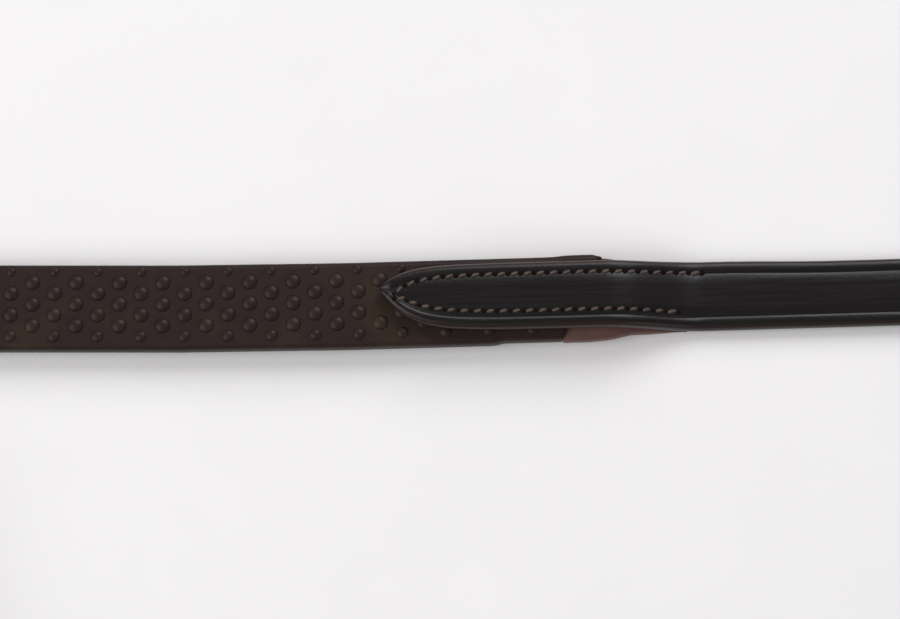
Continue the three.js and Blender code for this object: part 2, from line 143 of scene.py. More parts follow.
class Route:
    """Plan view of a rein as a polyline with lengths and headings, and the bank of the strap on it."""

    def __init__(self, x, y, heading):
        self.points = [np.array([[x, y]], float)]
        self.heading = math.radians(heading)

    def end(self):
        return self.points[-1][-1]

    def line(self, length):
        """A straight stretch along the heading."""
        self.points.append((self.end() + length * unit(self.heading))[None])
        return self

    def orbit(self, centre, bearing, sweep, r0, r1):
        """Points at centre + r(cos b, sin b), where b and r both change evenly with the step."""
        count = math.ceil(abs(sweep) / ARM_STEP)
        t = np.arange(1, count + 1) / count
        r = r0 + (r1 - r0) * t
        b = bearing + math.radians(sweep) * t
        self.points.append(centre + np.column_stack([r * np.cos(b), r * np.sin(b)]))
        self.heading = bearing + math.radians(sweep) + math.copysign(math.pi / 2, sweep)
        return self

    def arc(self, radius, degrees):
        """A round bend to the left (positive degrees) or the right."""
        side = self.heading + math.copysign(math.pi / 2, degrees)
        centre = self.end() + radius * unit(side)
        return self.orbit(centre, side + math.pi, degrees, radius, radius)

    def coil(self, turn, arm1, arm2):
        """Two-armed flat coil: a spiral inwards, an S through the middle and a spiral out again."""
        outer = COIL_INNER + COIL_PITCH * arm1 / 360
        side = self.heading + turn * math.pi / 2
        centre = self.end() + outer * unit(side)
        self.orbit(centre, side + math.pi, turn * arm1, outer, COIL_INNER)
        b = side + math.pi + turn * math.radians(arm1)
        half = COIL_INNER / 2
        self.orbit(centre + half * unit(b), b, turn * 180, half, half)
        self.orbit(centre - half * unit(b), b, -turn * 180, half, half)
        last = COIL_INNER + COIL_PITCH * arm2 / 360
        return self.orbit(centre, b + math.pi, -turn * arm2, COIL_INNER, last)

    def finish(self, lean, twist_in, twist_out):
        """Closes the route at END_X and works out its lengths, headings and the two twists."""
        self.line(abs(END_X - self.end()[0]))
        p = np.vstack(self.points)
        step = np.hypot(*np.diff(p, axis=0).T)
        self.s = np.concatenate([[0], np.cumsum(step)])
        self.p = p
        ends = np.vstack([p[:1], p[:-1]]), np.vstack([p[1:], p[-1:]])
        way = ends[1] - ends[0]
        self.h = np.unwrap(np.arctan2(way[:, 1], way[:, 0]))
        self.length = self.s[-1]
        self.lean = lean
        self.twist_in = twist_in
        self.twist_out = [self.length - d for d in twist_out]
        return self

    def bank(self, s):
        """Angle of the strap about the route: 0 flat, a quarter turn on edge."""
        return (ramp(s, *self.twist_in) - ramp(s, *self.twist_out)) * math.pi / 2

    def place(self, s, u, v):
        """Points in space from places along, across and above the route, in millimetres."""
        s, u, v = np.broadcast_arrays(np.asarray(s, float), u, v)
        inside = np.clip(s, 0, self.length)
        over = s - inside
        h = np.interp(inside, self.s, self.h)
        x = np.interp(inside, self.s, self.p[:, 0]) + over * np.cos(h)
        y = np.interp(inside, self.s, self.p[:, 1]) + over * np.sin(h)
        bank = self.bank(s)
        sin, cos = np.sin(bank), np.cos(bank)
        lean = self.lean * sin
        wide = ramp(s, 130, GRIP_START - 10) - ramp(s, GRIP_END + 10, GRIP_END + 70)
        half = HALF_WIDTH + (GRIP_W / 2 - HALF_WIDTH) * wide
        up = v - GRIP_T / 2 * sin
        side = u * cos - up * lean
        z = half * sin + GRIP_T / 2 * sin * cos + u * lean + up * cos
        return np.stack([x - side * np.sin(h), y + side * np.cos(h), z], axis=-1)

    def steps(self, s0, s1, fine=2.5, coarse=6.0):
        """Lengths from s0 to s1, finer where the route turns or twists."""
        bent = np.linspace(s0, s1, max(2, int((s1 - s0) / 1.0)))
        turn = np.abs(np.gradient(np.interp(bent, self.s, self.h), bent))
        twist = np.abs(np.gradient(self.bank(bent), bent))
        density = 1 / np.where(turn + twist > 0.002, fine, coarse)
        total = np.concatenate([[0], np.cumsum((density[1:] + density[:-1]) / 2 * np.diff(bent))])
        return np.interp(np.linspace(0, total[-1], max(3, int(total[-1]) + 2)), total, bent)


def make_routes():
    """The left rein runs to -X and the right one to +X from the buckle bar."""
    left = Route(BUCKLE_X, 0, 180).line(BUCKLE_X + 24).arc(BEND_RADIUS, -BEND_DEG).line(140)
    left.coil(1, 250, 160).arc(EXIT_RADIUS, 90 + BEND_DEG).finish(1, (355, 432), (173, 113))
    right = Route(BUCKLE_X, 0, 0).line(135).coil(-1, 348, 258).line(30).arc(EXIT_RADIUS, -90)
    right.finish(-1, (60, 132), (173, 113))
    return {"left": left, "right": right}


ROUTES = make_routes()


def row_shift():
    """From route coordinates to the row frame: the buckle's running keeper is in both."""
    low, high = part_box("buckle_running_keeper")
    return np.array([
        (low[0] + high[0]) * 500 - (BUCKLE_X - BUCKLE_KEEPERS[1]),
        (low[1] + high[1]) * 500,
        0.0,
    ])


SHIFT = row_shift()

# ---------------------------------------------------------------- meshes


def grid_faces(rows, cols, wrap_rows=False, wrap_cols=True):
    """Quads of a rows by cols grid of vertices, closed on itself across or along."""
    i = np.arange(rows if wrap_rows else rows - 1)[:, None]
    k = np.arange(cols if wrap_cols else cols - 1)[None]
    i2, k2 = (i + 1) % rows, (k + 1) % cols
    return np.stack([i * cols + k, i * cols + k2, i2 * cols + k2, i2 * cols + k], -1).reshape(-1, 4)


def template_faces(rows, sides):
    """Quads of a small closed form: its rings' sides, and quads over the last and first ring."""
    end = np.array([[0, i, i + 1, i + 2] for i in range(1, sides - 1, 2)])
    return np.vstack([grid_faces(rows, sides), end + (rows - 1) * sides, end[:, ::-1]])


def outward(verts, quads):
    """Quads turned so that the enclosed volume, a sum of tetrahedra, is positive."""
    a, b, c, d = (verts[quads[:, i]] for i in range(4))
    volume = np.einsum("ij,ij", a, np.cross(b, c)) + np.einsum("ij,ij", a, np.cross(c, d))
    return quads if volume > 0 else quads[:, ::-1]


def mesh_object(name, verts, faces, material, uv=None, edge=None):
    """A smooth-shaded object at the origin from vertices in millimetres in route coordinates."""
    mesh = bpy.data.meshes.new(name)
    mesh.from_pydata(((verts + SHIFT) / 1000).tolist(), [], [list(f) for f in faces])
    mesh.polygons.foreach_set("use_smooth", np.ones(len(mesh.polygons), bool))
    corner = np.empty(len(mesh.loops), int)
    mesh.loops.foreach_get("vertex_index", corner)
    if uv is not None:
        layer = mesh.uv_layers.new(name="strap")
        layer.uv.foreach_set("vector", (uv[corner] / 1000).ravel())
    # edge: share of the edge colour at each point, a burnished tone with a painted highlight
    if edge is not None:
        mesh.attributes.new("edge", "FLOAT", "POINT").data.foreach_set("value", edge.ravel())
    mesh.materials.append(material)
    mesh.update()
    obj = bpy.data.objects.new(name, mesh)
    bpy.context.scene.collection.objects.link(obj)
    return obj


def swept(name, route, s, u, v, material, edge=None, solid=True):
    """Rings of points (one row of s, u, v each) carried along a route and capped at both ends."""
    s, u, v = np.broadcast_arrays(s, u, v)
    rows, cols = s.shape
    verts = route.place(s, u, v).reshape(-1, 3)
    quads = outward(verts, grid_faces(rows, cols, wrap_rows=not solid))
    faces = capped(quads, cols, rows) if solid else quads.tolist()
    uv = np.stack([s, u], -1).reshape(-1, 2)
    return mesh_object(name, verts, faces, material, uv, edge)


def repeated(name, route, centres, template, quads, material, surface):
    """Copies of a small template (along, across, up) set on a surface v(s, u) at given centres.

    Each centre is (s, u, turn, size); the template is turned in the surface by that angle."""
    s0, u0, turn, size = (c[:, None] for c in np.asarray(centres, float).T)
    a, b, up = template.T[:, None, :] * size
    s = s0 + a * np.cos(turn) - b * np.sin(turn)
    u = u0 + a * np.sin(turn) + b * np.cos(turn)
    v = surface(s, u) + up
    verts = route.place(s, u, v).reshape(-1, 3)
    count = len(template)
    one = route.place(s[0], u[0], v[0])
    flip = outward(one, quads)
    faces = (flip[None] + (np.arange(len(s0)) * count)[:, None, None]).reshape(-1, 4)
    return mesh_object(name, verts, faces, material)


def carve(obj, low, high):
    """Cuts a box (millimetres, route coordinates) out of a finished mesh, for a punched slot."""
    corner = np.array([[x, y, z] for x in (0, 1) for y in (0, 1) for z in (0, 1)])
    low, high = np.array(low, float), np.array(high, float)
    faces = [(0, 1, 3, 2), (4, 6, 7, 5), (0, 4, 5, 1), (2, 3, 7, 6), (0, 2, 6, 4), (1, 5, 7, 3)]
    tool = mesh_object(obj.name + "_slot", low + corner * (high - low), faces, obj.data.materials[0])
    cut = obj.modifiers.new("slot", "BOOLEAN")
    cut.object = tool
    cut.solver = "EXACT"
    done = bpy.data.meshes.new_from_object(obj.evaluated_get(bpy.context.evaluated_depsgraph_get()))
    obj.modifiers.clear()
    obj.data = done
    bpy.data.objects.remove(tool)


def place_piece(obj, body, replaced=None):
    """Says which body a finished piece rides on, which CAD node it stands in for."""
    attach(obj, body)
    if replaced:
        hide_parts(replaced)


def capped(quads, sides, rows):
    """Faces of a closed tube: its quads and a face over the first and the last ring."""
    first, last = list(range(sides)), list(range((rows - 1) * sides, rows * sides))
    turned = quads[0][1] == 0
    return quads.tolist() + ([first, last[::-1]] if turned else [first[::-1], last])


# ---------------------------------------------------------------- sections and profiles


def lancet(d, skew=0.0):
    """Reach of a pointed strap end to one side at distance d from its tip: H (1 - (1 - skew) e^(-d/T)).

    skew moves the tip off the strap's middle by that share of its half-width, T is 5 to 5.8 mm."""
    fall = np.exp(-np.maximum(d, 0) / (5.4 - 1.6 * skew))
    return HALF_WIDTH * (1 - (0.96 - skew) * fall)


# one side of a strap's section, from the flesh side round the edge to the grain side:
# share of the half-width, inset, share of the half-thickness, rise, and whether it is edge (where the
# burnished edge colour goes, lighter as a painted highlight of the bevel)
STRAP_EDGE = np.array([
    [0.55, 0, -1, 0, 0],
    [1, -1.2, -1, 0, 0],
    [1, -0.5, -1, 0.12, 1],
    [1, -0.12, -1, 0.45, 1],
    [1, 0, -1, 0.95, 1],
    [1, 0.05, 0, 0, 1],
    [1, 0, 1, -1.3, 1],
    [1, -0.12, 1, -0.85, 1],
    [1, -0.4, 1, -0.42, 1],
    [1, -0.8, 1, -0.14, 0.8],
    [1, -1.3, 1, 0, 0],
    [1, -1.7, 1, 0.03, 0],
])
CREASE = np.array([[0.5, 0.05], [0.22, -0.35], [0, -1], [-0.22, -0.35], [-0.5, 0.05]])


def strap_section(reaches, thick, inset, depth):
    """Bevelled strap section with a crease near each edge; a crown of 0.1 mm in the middle.

    thick, depth: one value for each ring; reaches and inset: the strap's reach and the crease's
    inset from that edge, each as a pair for +u and -u."""
    plus, minus, thick, depth = (
        np.asarray(x, float)[:, None] for x in np.broadcast_arrays(*reaches, thick, depth))
    thick = thick * (0.55 + 0.45 * ramp(plus + minus, 0.5, 7))
    middle = (plus - minus) / 2
    half = (plus + minus) / 2
    soft = np.clip(half / 4, 0.1, 1)
    flat = np.clip(thick / 3, 0.2, 1) * soft
    sides = []
    for sign, reach in ((1, inset[0]), (-1, inset[1])):
        share, move, level, rise, edge = STRAP_EDGE.T[:, None]
        u = share * half + move * soft
        w = level * thick / 2 + rise * flat
        room = half - np.asarray(reach, float).reshape(-1, 1)
        c = np.maximum(room, 0.12 * half)
        g = np.clip(room, 0.08, 1)
        cu = c + CREASE[:, 0] * g
        lift = np.where(CREASE[:, 1] < 0, CREASE[:, 1] * depth * g, CREASE[:, 1])
        u = np.hstack([u, cu, 0.5 * c])
        w = np.hstack([w, thick / 2 + lift, thick / 2 + 0.08])
        e = np.broadcast_to(np.concatenate([edge[0], np.zeros(6)]), u.shape)
        sides.append((sign * u, w, e))
    zero = np.zeros_like(half)
    (up, wp, ep), (un, wn, en) = sides
    u = np.hstack([zero, up, zero, un[:, ::-1]]) + middle
    w = np.hstack([-thick / 2, wp, thick / 2 + 0.1, wn[:, ::-1]])
    e = np.hstack([zero, ep, zero, en[:, ::-1]])
    return u, w, e


def along_line(s, v):
    """Unit normals, turned left from the way the middle line (s, v) runs."""
    ds, dv = np.gradient(s), np.gradient(v)
    size = np.hypot(ds, dv)
    return -dv / size, ds / size


def strap(name, route, s, v, reaches, thick, inset=(CREASE_INSET,) * 2,
          depth=CREASE_DEPTH, flip=1):
    """A strap whose middle line is (s, v) and whose section stands square to that line."""
    u, w, edge = strap_section(reaches, thick, inset, depth)
    ns, nv = along_line(s, v)
    w = w * flip
    return swept(name, route, s[:, None] + ns[:, None] * w, u, v[:, None] + nv[:, None] * w,
                 MATERIALS["leather"], edge)


def strap_bottom(e):
    """Underside of a lapped strap end; e is the distance outwards from the rubber."""
    return LAP_TOP * (1 - ramp(e, *CLIMB))


def core_bottom(e):
    """The core lies in the middle of the rubber and comes down to the surface beyond it."""
    return (GRIP_T - CORE_T) / 2 * (1 - ramp(e, 2, 14))


def core_top(e):
    return np.minimum(core_bottom(e) + CORE_T, strap_bottom(e) - 0.3)


def rear_lift(s):
    """Height that the left rear strap is held up by its keepers; s is the distance from the bar."""
    return LIFT * (1 - ramp(s, 80, 110))


def front_lift(d):
    """Height that a front strap is held up by the billet's loop; d is the distance from the bit."""
    return LIFT * (1 - ramp(d, 97, 125))


def tail_bottom(s):
    """Right rein's tail: on the chape, over the bar, then down through the buckle frame."""
    return (TAIL_Z + 1.2 * ramp(np.minimum(s, 0), -14, -4)) * (1 - ramp(s, 0, 20.5))


def declare_strap(route, s0, s1, height):
    """Works out points along a long flat strap's middle line at the given height, in metres; nothing uses
    them.
    """
    s = np.linspace(s0, s1, 160)
    line = (route.place(s, 0, height) + SHIFT) / 1000


# ---------------------------------------------------------------- materials

MATERIALS = {}


def node(tree, kind, at, settings=None, links=()):
    """Adds one node with its settings (attributes, or inputs by name) and its incoming links."""
    made = tree.nodes.new(kind)
    made.location = at
    for key, value in (settings or {}).items():
        if hasattr(made, key):
            setattr(made, key, value)
        else:
            made.inputs[key].default_value = value
    for source, output, target in links:
        tree.links.new(source.outputs[output], made.inputs[target])
    return made


def new_material(name, sockets):
    """A material with its Principled shader's own sockets set, its tree, shader and coordinates."""
    material = bpy.data.materials.new(name)
    material.use_nodes = True
    tree = material.node_tree
    bsdf = tree.nodes["Principled BSDF"]
    for socket, value in sockets.items():
        bsdf.inputs[socket].default_value = value
    return material, tree, bsdf, node(tree, "ShaderNodeTexCoord", (-1400, 0))


def texture(tree, where, at, scale, detail=2.0, kind="Noise", **more):
    """A texture over the object's coordinates; scale is in cells for each metre."""
    settings = {"Scale": scale, **({"Detail": detail} if kind == "Noise" else {}), **more}
    return node(tree, "ShaderNodeTex" + kind, at, settings, [(where, "Object", "Vector")])


def bump(tree, at, height, strength, distance, before=None):
    """Bump from height, a (node, output) pair, over the bump node before it; distance in metres."""
    links = [(*height, "Height")] + ([(before, "Normal", "Normal")] if before else [])
    return node(tree, "ShaderNodeBump", at, {"Strength": strength, "Distance": distance}, links)


def rgba(colour):
    return (*colour[:3], 1.0)


def colour_mix(tree, at, factor, low, high):
    """Colour Mix node: low and high are colours or other colour Mix nodes."""
    mix = node(tree, "ShaderNodeMix", at, {"data_type": "RGBA"})
    for index, value in ((6, low), (7, high)):
        if isinstance(value, bpy.types.Node):
            tree.links.new(value.outputs[2], mix.inputs[index])
        else:
            mix.inputs[index].default_value = rgba(value)
    tree.links.new(factor[0].outputs[factor[1]], mix.inputs[0])
    return mix


def feed(tree, bsdf, colour, relief=None, rough=None):
    """Links the last colour, bump and roughness nodes to the shader."""
    tree.links.new(colour.outputs[2], bsdf.inputs["Base Color"])
    if relief:
        tree.links.new(relief.outputs["Normal"], bsdf.inputs["Normal"])
    if rough:
        tree.links.new(rough.outputs["Result"], bsdf.inputs["Roughness"])


def bridle_leather(look):
    """Bridle leather: dyed black-brown, waxed and glazed, with a fine pore grain.

    The eye sees a deep satin black-brown, soft long reflections and browner burnished edges, whose colour
    is also lighter as a painted highlight of the bevels."""
    material, tree, bsdf, where = new_material("waxed_bridle_leather", {
        "IOR": 1.5, "Specular IOR Level": 0.26, "Coat Weight": 0.06, "Coat Roughness": 0.22})
    # drawn marks along the strap, about 0.8 mm wide and 30 mm long
    strap_map = node(tree, "ShaderNodeUVMap", (-1600, 700), {"uv_map": "strap"})
    along = node(tree, "ShaderNodeMapping", (-1400, 700), {"Scale": (30.0, 1200.0, 1.0)},
                 [(strap_map, "UV", "Vector")])
    drawn = node(tree, "ShaderNodeTexNoise", (-1100, 700), {"Scale": 1.0, "Detail": 2.0},
                 [(along, "Vector", "Vector")])
    # dye clouds about 25 mm across, pores about 0.5 mm and wrinkles about 1 mm
    cloud = texture(tree, where, (-1100, 200), 40.0, 3.0)
    pores = texture(tree, where, (-1100, -100), 2000.0, kind="Voronoi")
    wrinkle = texture(tree, where, (-1100, -400), 900.0, 5.0)
    # edge attribute: where the edge colour goes, a burnished tone lightened as a painted bevel highlight
    rim = node(tree, "ShaderNodeAttribute", (-1100, 450), {"attribute_name": "edge"})
    face = colour_mix(tree, (-700, 200), (cloud, "Fac"), look.leather_deep, look.leather)
    # edge colour: burnished tone and painted highlight of the bevel in one
    edge_tone_and_highlight = colour_mix(tree, (-450, 250), (rim, "Fac"), face, look.edge)
    rough = node(tree, "ShaderNodeMapRange", (-450, -50),
                 {"From Min": 0.3, "From Max": 0.7, "To Min": 0.24, "To Max": 0.4},
                 [(drawn, "Fac", "Value")])
    lines = bump(tree, (-700, -300), (drawn, "Fac"), 0.35, 0.00008)
    grain = bump(tree, (-450, -300), (pores, "Distance"), 0.25, 0.00006, lines)
    relief = bump(tree, (-220, -300), (wrinkle, "Fac"), 0.3, 0.0001, grain)
    feed(tree, bsdf, edge_tone_and_highlight, relief, rough)
    return material


def core_leather(look):
    """Vegetable-tanned leather, undyed on its cut edge: matt red-brown with a fibrous nap."""
    material, tree, bsdf, where = new_material("russet_core_leather", {"Roughness": 0.62, "IOR": 1.45})
    # fibres about 0.4 mm across and clouds about 6 mm across
    fibre = texture(tree, where, (-850, -150), 2400.0, 4.0)
    cloud = texture(tree, where, (-850, 150), 160.0, 3.0)
    base = colour_mix(tree, (-500, 150), (cloud, "Fac"), look.core_deep, look.core)
    feed(tree, bsdf, base, bump(tree, (-500, -150), (fibre, "Fac"), 0.4, 0.00015))
    return material


def grip_rubber(look):
    """Moulded natural rubber: dull brown with a faint bloom in greener and paler patches."""
    material, tree, bsdf, where = new_material("moulded_brown_rubber", {
        "Roughness": 0.52, "IOR": 1.52, "Specular IOR Level": 0.1, "Coat Weight": 0.12,
        "Coat Roughness": 0.2})
    # bloom patches about 12 mm across, clouds about 4 mm and skin texture about 0.3 mm
    bloom = texture(tree, where, (-1050, 200), 85.0, 4.0)
    cloud = texture(tree, where, (-1050, -80), 260.0, 3.0)
    skin = texture(tree, where, (-1050, -350), 3000.0, 3.0)
    patch = node(tree, "ShaderNodeMapRange", (-800, 200),
                 {"From Min": 0.5, "From Max": 0.72}, [(bloom, "Fac", "Value")])
    base = colour_mix(tree, (-550, 0), (cloud, "Fac"), look.rubber_deep, look.rubber)
    worn = colour_mix(tree, (-320, 150), (patch, "Result"), base, look.rubber_bloom)
    feed(tree, bsdf, worn, bump(tree, (-400, -300), (skin, "Fac"), 0.35, 0.00012))
    return material


def thread(look):
    """Waxed linen thread: pale brown, twisted strands about 1 mm apart, soiled in patches."""
    material, tree, bsdf, where = new_material("waxed_linen_thread", {"Roughness": 0.55, "IOR": 1.45})
    strand = texture(tree, where, (-850, 0), 900.0, kind="Wave", Distortion=2.0,
                     bands_direction="DIAGONAL")
    soil = texture(tree, where, (-850, 280), 700.0)
    base = colour_mix(tree, (-500, 150), (soil, "Fac"), look.thread_deep, look.thread)
    feed(tree, bsdf, base, bump(tree, (-500, -150), (strand, "Fac"), 0.5, 0.0002))
    return material


def painted_hole_shade(look):
    """Painted shade for the dark inside of an awl hole, between two stitches."""
    material, tree, bsdf, where = new_material("painted_hole_shade", {"Roughness": 0.8, "Specular IOR Level": 0.1})
    # two dark tones, mottled, as painted shade in the hole
    shade_mottle = texture(tree, where, (-600, 0), 1500.0)
    feed(tree, bsdf, colour_mix(tree, (-300, 0), (shade_mottle, "Fac"), look.hole_deep, look.hole))
    return material


def stainless(look):
    """Cast and polished stainless steel: bright, with fine polishing lines that widen highlights."""
    material, tree, bsdf, where = new_material("polished_stainless_steel", {
        "Metallic": 1.0, "Roughness": 0.2})
    lines = texture(tree, where, (-850, 0), 2500.0, 4.0)
    tone = colour_mix(tree, (-500, 200), (lines, "Fac"), look.steel_deep, look.steel)
    rough = node(tree, "ShaderNodeMapRange", (-500, -100), {"To Min": 0.12, "To Max": 0.3},
                 [(lines, "Fac", "Value")])
    feed(tree, bsdf, tone, rough=rough)
    return material


def backdrop_paper(look):
    """Matt seamless studio paper, almost white."""
    material, tree, bsdf, where = new_material("studio_paper", {"Roughness": 0.9})
    tooth = texture(tree, where, (-600, 0), 30.0)
    feed(tree, bsdf, colour_mix(tree, (-300, 0), (tooth, "Fac"), look.floor_deep, look.floor))
    return material


def make_materials():
    look = bpy.context.scene.reins_finish
    makers = {
        "leather": bridle_leather,
        "core": core_leather,
        "rubber": grip_rubber,
        "thread": thread,
        "hole": painted_hole_shade,
        "steel": stainless,
        "paper": backdrop_paper,
    }
    for key, maker in makers.items():
        MATERIALS[key] = maker(look)


# ---------------------------------------------------------------- grips


def rounded_box(half, low, high, radius, per_corner=5):
    """Section outline of a rounded rectangle, counter-clockwise, as (u, v) rows for each ring."""
    half, low, high = (np.asarray(x, float).reshape(-1, 1) for x in np.broadcast_arrays(half, low, high))
    a = np.linspace(0, math.pi / 2, per_corner)
    cu, cv = radius * np.cos(a), radius * np.sin(a)
    u = np.hstack([half - radius + cu, -(half - radius) - cu[::-1],
                   -(half - radius) - cu, half - radius + cu[::-1]])
    v = np.hstack([high - radius + cv, high - radius + cv[::-1],
                   low + radius - cv, low + radius - cv[::-1]])
    return u, v


def grip_surface(sizes, under):
    """Height of the rubber's face at u: flat, with a round shoulder near each edge."""
    half, r = sizes.grip_width * 500, GRIP_EDGE_R

    def height(s, u):
        out = np.clip(np.abs(u) - (half - r), 0, r * 0.98)
        drop = r - np.sqrt(r * r - out * out)
        return sizes.rubber_low * 1000 + drop if under else sizes.rubber_high * 1000 - drop

    return height


def dome(radius, height, sides=10):
    """A pimple: a low dome, h = H (1 - (r / R)^2.4), closed below; its foot is under the face."""
    r = np.array([1.0, 0.86, 0.66, 0.42, 0.18])
    h = 1 - r ** 2.4 - 0.08 * (r == 1)
    a = circle(sides)
    ring = np.stack([np.outer(r * radius, np.cos(a)), np.outer(r * radius, np.sin(a)),
                     np.repeat(h * height, sides).reshape(len(r), sides)], -1).reshape(-1, 3)
    return ring, template_faces(len(r), sides)


def pimple_centres(side, sizes, under):
    """Quincunx rows along the grip; the strap's lapped ends and the plain edge band are left free."""
    pitch, row = sizes.pimple_pitch * 1000, sizes.row_spacing * 1000
    out = []
    for k in range(-3, 4):
        u = (k + 0.5) * row - 0.6
        small = 0.62 if abs(u) > 8 else 0.78 if abs(u) > 7 else 1.0
        s = np.arange(PIMPLE_PHASE - 30 * pitch + (k % 2) * pitch / 2, GRIP_END, pitch)
        s = s[(s > GRIP_START + GRIP_TRIM + 3 - END_SLANT * u) & (s < GRIP_END - 4)]
        e = np.maximum(GRIP_START - s, s - GRIP_END)
        edge = lancet(e + LAP, math.copysign(TIP_SKEW, u)) + math.copysign(LAP_SHIFT, u)
        clear = (e + LAP < -1.5) | (abs(u) > edge + (1.2 if u > 0 else -1.3))
        if under:
            clear = np.ones(len(s), bool)
        one = np.ones(clear.sum())
        out.append(np.column_stack([s[clear], -SIGN[side] * u * one, 0 * one, small * one]))
    return np.vstack(out)


def build_grip(side):
    """Hollow rubber sleeve with pimples on both faces; the leather core inside it is made by build_core.
    """
    route, sizes = ROUTES[side], bpy.context.scene.reins_grip
    flat_sign = SIGN[side]
    s = np.unique(np.concatenate([
        route.steps(GRIP_START + GRIP_TRIM, GRIP_END - GRIP_TRIM),
        GRIP_START + np.array([GRIP_TRIM, 5, 7, 9, 11, 13, 16, 20, 22.5, 23.5, 24.5, 26]),
    ]))
    half = sizes.grip_width * 500
    low, high = sizes.rubber_low * 1000, sizes.rubber_high * 1000
    uo, vo = rounded_box(np.full(len(s), half), low, high, GRIP_EDGE_R)
    ui, vi = rounded_box(np.full(len(s), half - 1.0), low + 0.5, high - 0.9, 0.9)
    # the wrap's outer flap stops 24 mm in from the end, so the far part of that edge is narrower
    lower = np.clip(flat_sign * uo / half, 0, 1)
    upper = np.clip(-flat_sign * uo / half, 0, 1)
    e = (s - GRIP_START)[:, None]
    step = 0.5 * (1 - ramp(e, 22, 25)) * ramp(lower, 0.7, 0.95)
    bump = 0.35 * (1 - ramp(e, 8, 12)) * ramp(upper, 0.7, 0.95)
    uo = uo - flat_sign * step - flat_sign * bump
    near = np.clip(1 - (e - GRIP_TRIM) / 14, 0, 1)
    slant = END_SLANT * near * flat_sign
    so = s[:, None] + slant * uo + 3.0 * near * ramp(upper, 0.9, 1.0)
    si = s[:, None] + slant * ui
    rings = [np.vstack([a, b[::-1]]) for a, b in ((so, si), (uo, ui), (vo, vi))]
    name = f"{side}_grip_sleeve"
    sleeve = swept(name, route, *rings, MATERIALS["rubber"], solid=False)
    place_piece(sleeve, "reins", f"{side}_rubber_grip")
    declare_strap(route, GRIP_START, GRIP_END, GRIP_T / 2)

    shape, quads = dome(sizes.pimple_radius * 1000, sizes.pimple_height * 1000)
    for under in (False, True):
        flip = np.array([1, 1, -1 if under else 1])
        pimples = repeated(
            f"{side}_grip_pimples_{'inner' if under else 'outer'}", route,
            pimple_centres(side, sizes, under), shape * flip, quads,
            MATERIALS["rubber"], grip_surface(sizes, under),
        )
        place_piece(pimples, "reins")


def build_core(side):
    """Leather core: full width inside the rubber, tapered and skived where it comes out."""
    route = ROUTES[side]
    ends = np.array([-9.2, -8.6, -8.1, -2, 2, 4, 6, 8, 10, 12, 14, 15, 16, 17, 18, 19, 20, CORE_END])
    s = np.unique(np.concatenate([
        GRIP_START - ends, route.steps(GRIP_START + 3, GRIP_END - 3), GRIP_END + ends,
    ]))
    e = np.maximum(GRIP_START - s, s - GRIP_END)
    half = 9.0 + ramp(e, -9, -8.2) - 0.5 * ramp(e, 0.5, 3.2) - 1.1 * ramp(e, 3, 8.8)
    half = half - 0.5 * ramp(e, 8.8, CORE_END)
    low, high = core_bottom(e), core_top(e)
    u, v = rounded_box(half, low, high, 0.28, 3)
    core = swept(f"{side}_core", route, s[:, None], u, v, MATERIALS["core"])
    place_piece(core, "reins", f"{side}_grip_core")


# ---------------------------------------------------------------- straps


def lap_rings(route, joint, outward_way, s0, s1):
    """Ring lengths of a strap with a pointed lapped end: fine at the point and on the climb."""
    e = np.concatenate([TIP_STEPS - LAP, [18 - LAP], np.arange(-4, 27, 1.0)])
    s = np.unique(np.concatenate([joint + outward_way * e, route.steps(s0, s1)]))
    return s[(s >= s0) & (s <= s1)]


def lap_insets(e):
    """Crease insets at a joint: +u and -u rows move in to the stitch lines on the lap."""
    on_lap = 1 - ramp(e, 18, 27)
    return 3.0 - 0.3 * on_lap, 3.0 - 0.1 * on_lap


def swell(e):
    """Extra width that the -flat_sign side keeps past the climb, largest at e = 26."""
    return 0.55 * ramp(e, 6, 24) * (1 - ramp(e, 28, 58))


def lap_reaches(e, flat_sign):
    """Reach of a lapped strap to +u and -u; the lap and its tip lie a little towards -flat_sign."""
    skew = TIP_SKEW * flat_sign
    shift = LAP_SHIFT * flat_sign * (1 - ramp(e, 0, 25))
    plus = lancet(e + LAP, -skew) - shift + (flat_sign < 0) * swell(e)
    minus = lancet(e + LAP, skew) + shift + (flat_sign > 0) * swell(e)
    return plus, minus


def back_middle(s):
    """Middle height of the turned-back end, which rises to the top of the fold at the bar."""
    return BACK_Z + (BAR_Z + BAR_R + 1.3 - BACK_Z) * (1 - ramp(s, 0, 12))


def back_thick(s):
    """Thickness of the turned-back end, which is skived towards its edge."""
    return FOLD_T - 0.8 * ramp(s, 50, 60)


def chape_top(s):
    """Height of the turned-back end's upper face."""
    return back_middle(s) + back_thick(s) / 2


